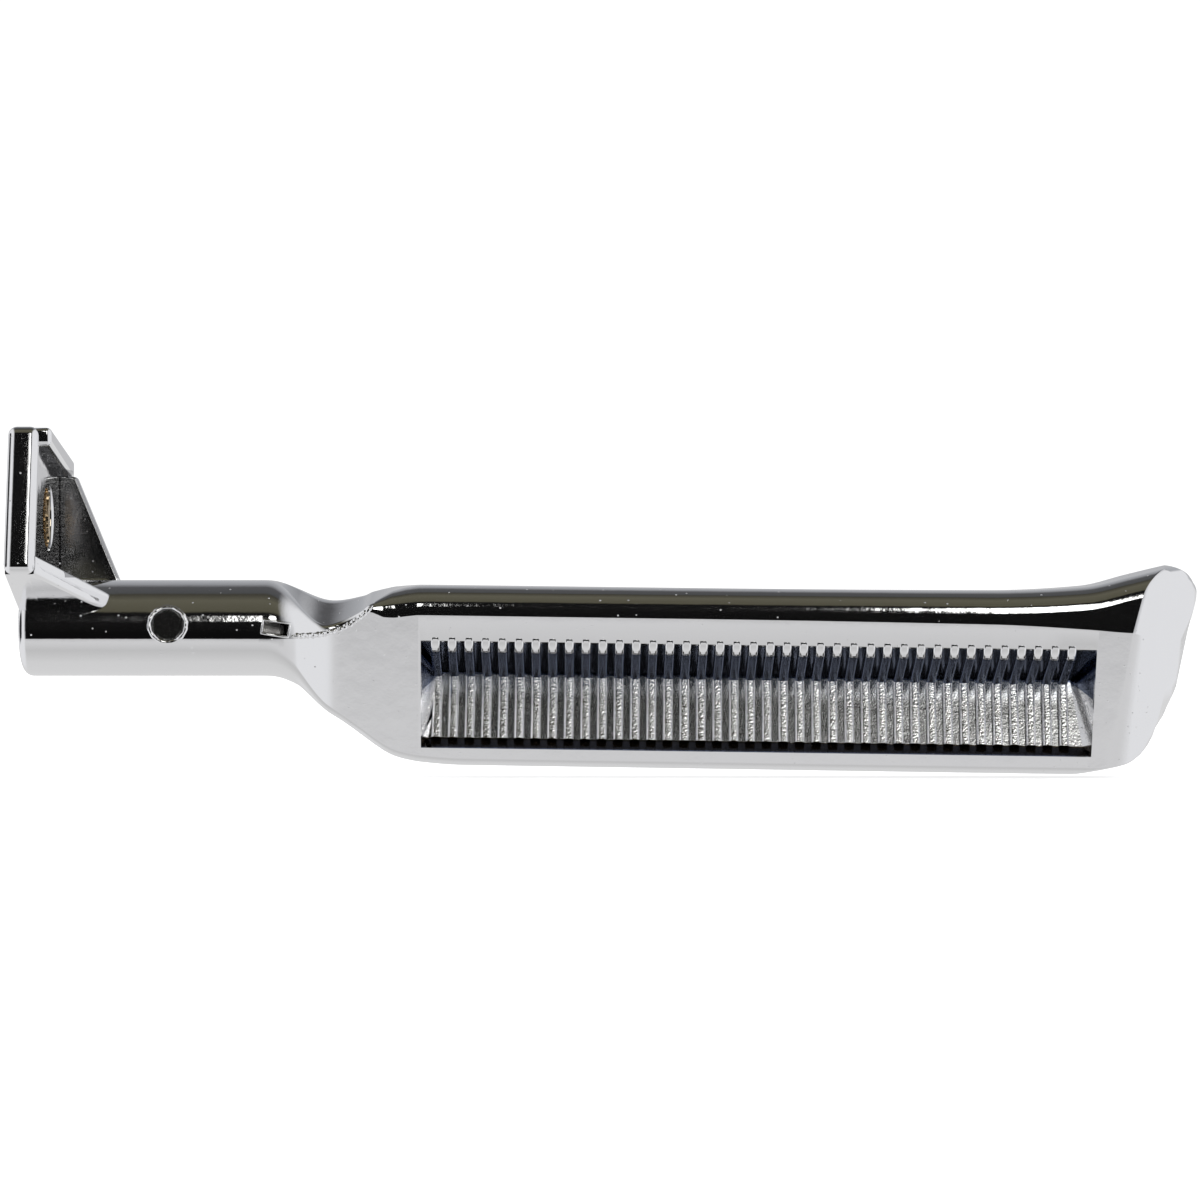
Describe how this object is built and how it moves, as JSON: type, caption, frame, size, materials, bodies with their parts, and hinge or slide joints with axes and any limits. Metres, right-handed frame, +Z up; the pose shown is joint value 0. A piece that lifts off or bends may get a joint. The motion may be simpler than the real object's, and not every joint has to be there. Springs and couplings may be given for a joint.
{
  "type": "inside door release lever",
  "caption": "Chrome die-cast inside door release lever with a ribbed finger pocket, a crank ear for the latch rod and a barrel that turns on a steel pivot post.",
  "frame": {"origin": "on the pivot axis, in the plane of the barrel's end face", "axes": "+X along the pivot axis from the barrel's end to the blade's tip, +Z up towards the crank ear, +Y away from the finger side"},
  "size_m": [0.1569, 0.0289, 0.0452],
  "materials": {
    "plated_casting": "bright chrome plate over a zinc die casting, with fine casting pits in the recesses",
    "post_steel": "zinc-plated turned steel",
    "pin_steel": "ground steel end, plated over with the casting"
  },
  "bodies": {
    "post": {"pivot_post": "post_steel"},
    "lever": {"lever_casting": "plated_casting", "retaining_pin": "pin_steel"}
  },
  "joints": [
    {"name": "lever_swing", "type": "hinge", "parent": "post", "child": "lever", "pos_m": [0, 0, 0], "axis": [1, 0, 0], "range_deg": [0, 40]}
  ]
}
